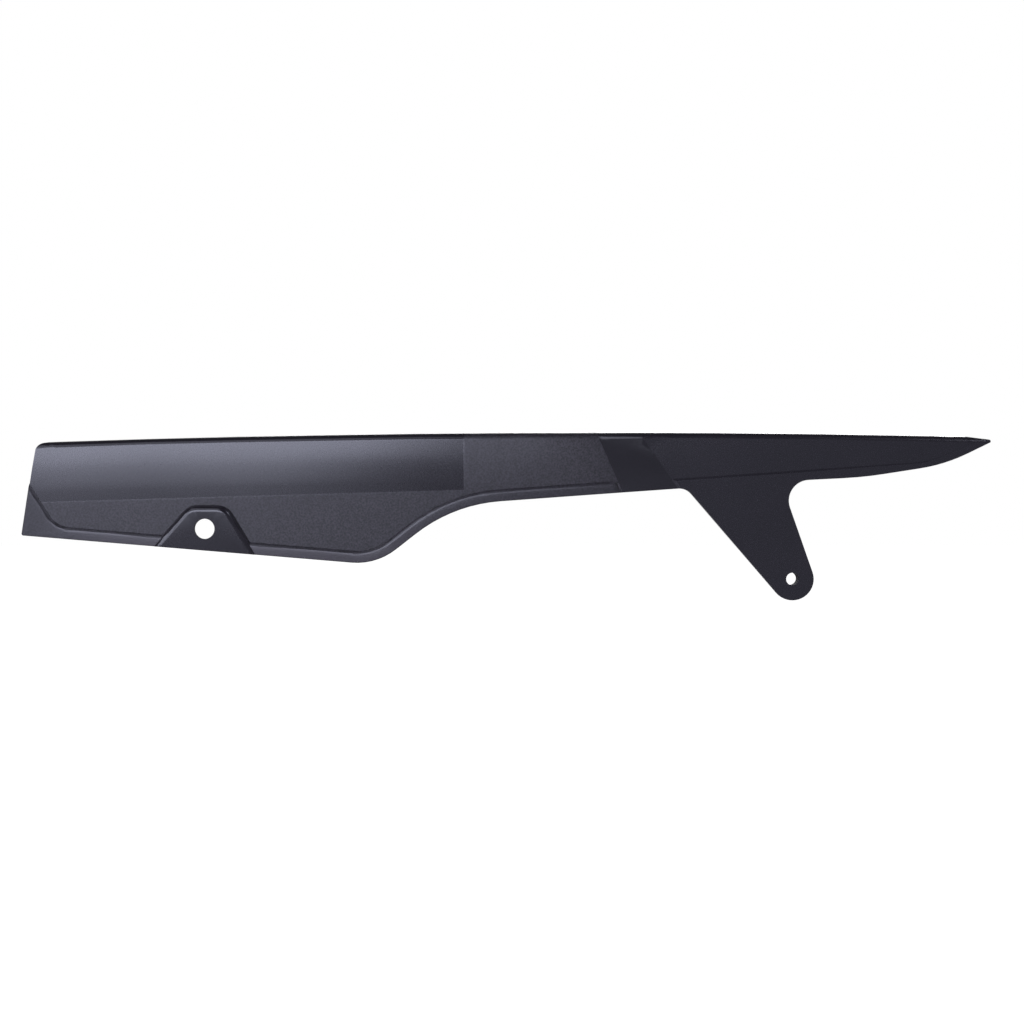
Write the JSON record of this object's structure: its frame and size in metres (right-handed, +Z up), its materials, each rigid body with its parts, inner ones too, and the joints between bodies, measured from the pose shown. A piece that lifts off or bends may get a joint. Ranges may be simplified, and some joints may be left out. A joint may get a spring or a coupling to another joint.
{
  "type": "motorcycle chain guard",
  "caption": "Long black moulded chain guard: side wall with a turned-in top flange, raised lower rim, front bolt pad, ramp set inboard, hanging bolt leg and pointed tail.",
  "frame": {"origin": "on the front hole's axis, at the inner seat of the bolt pad", "axes": "+X rearward along the guard, +Y inboard towards the wheel, +Z up as fitted"},
  "size_m": [0.5018, 0.0328, 0.0877],
  "materials": {
    "black_plastic": "moulded black polypropylene, fine matte grain with smooth satin panels"
  },
  "bodies": {
    "root": {"chain_guard": "black_plastic"}
  },
  "joints": []
}
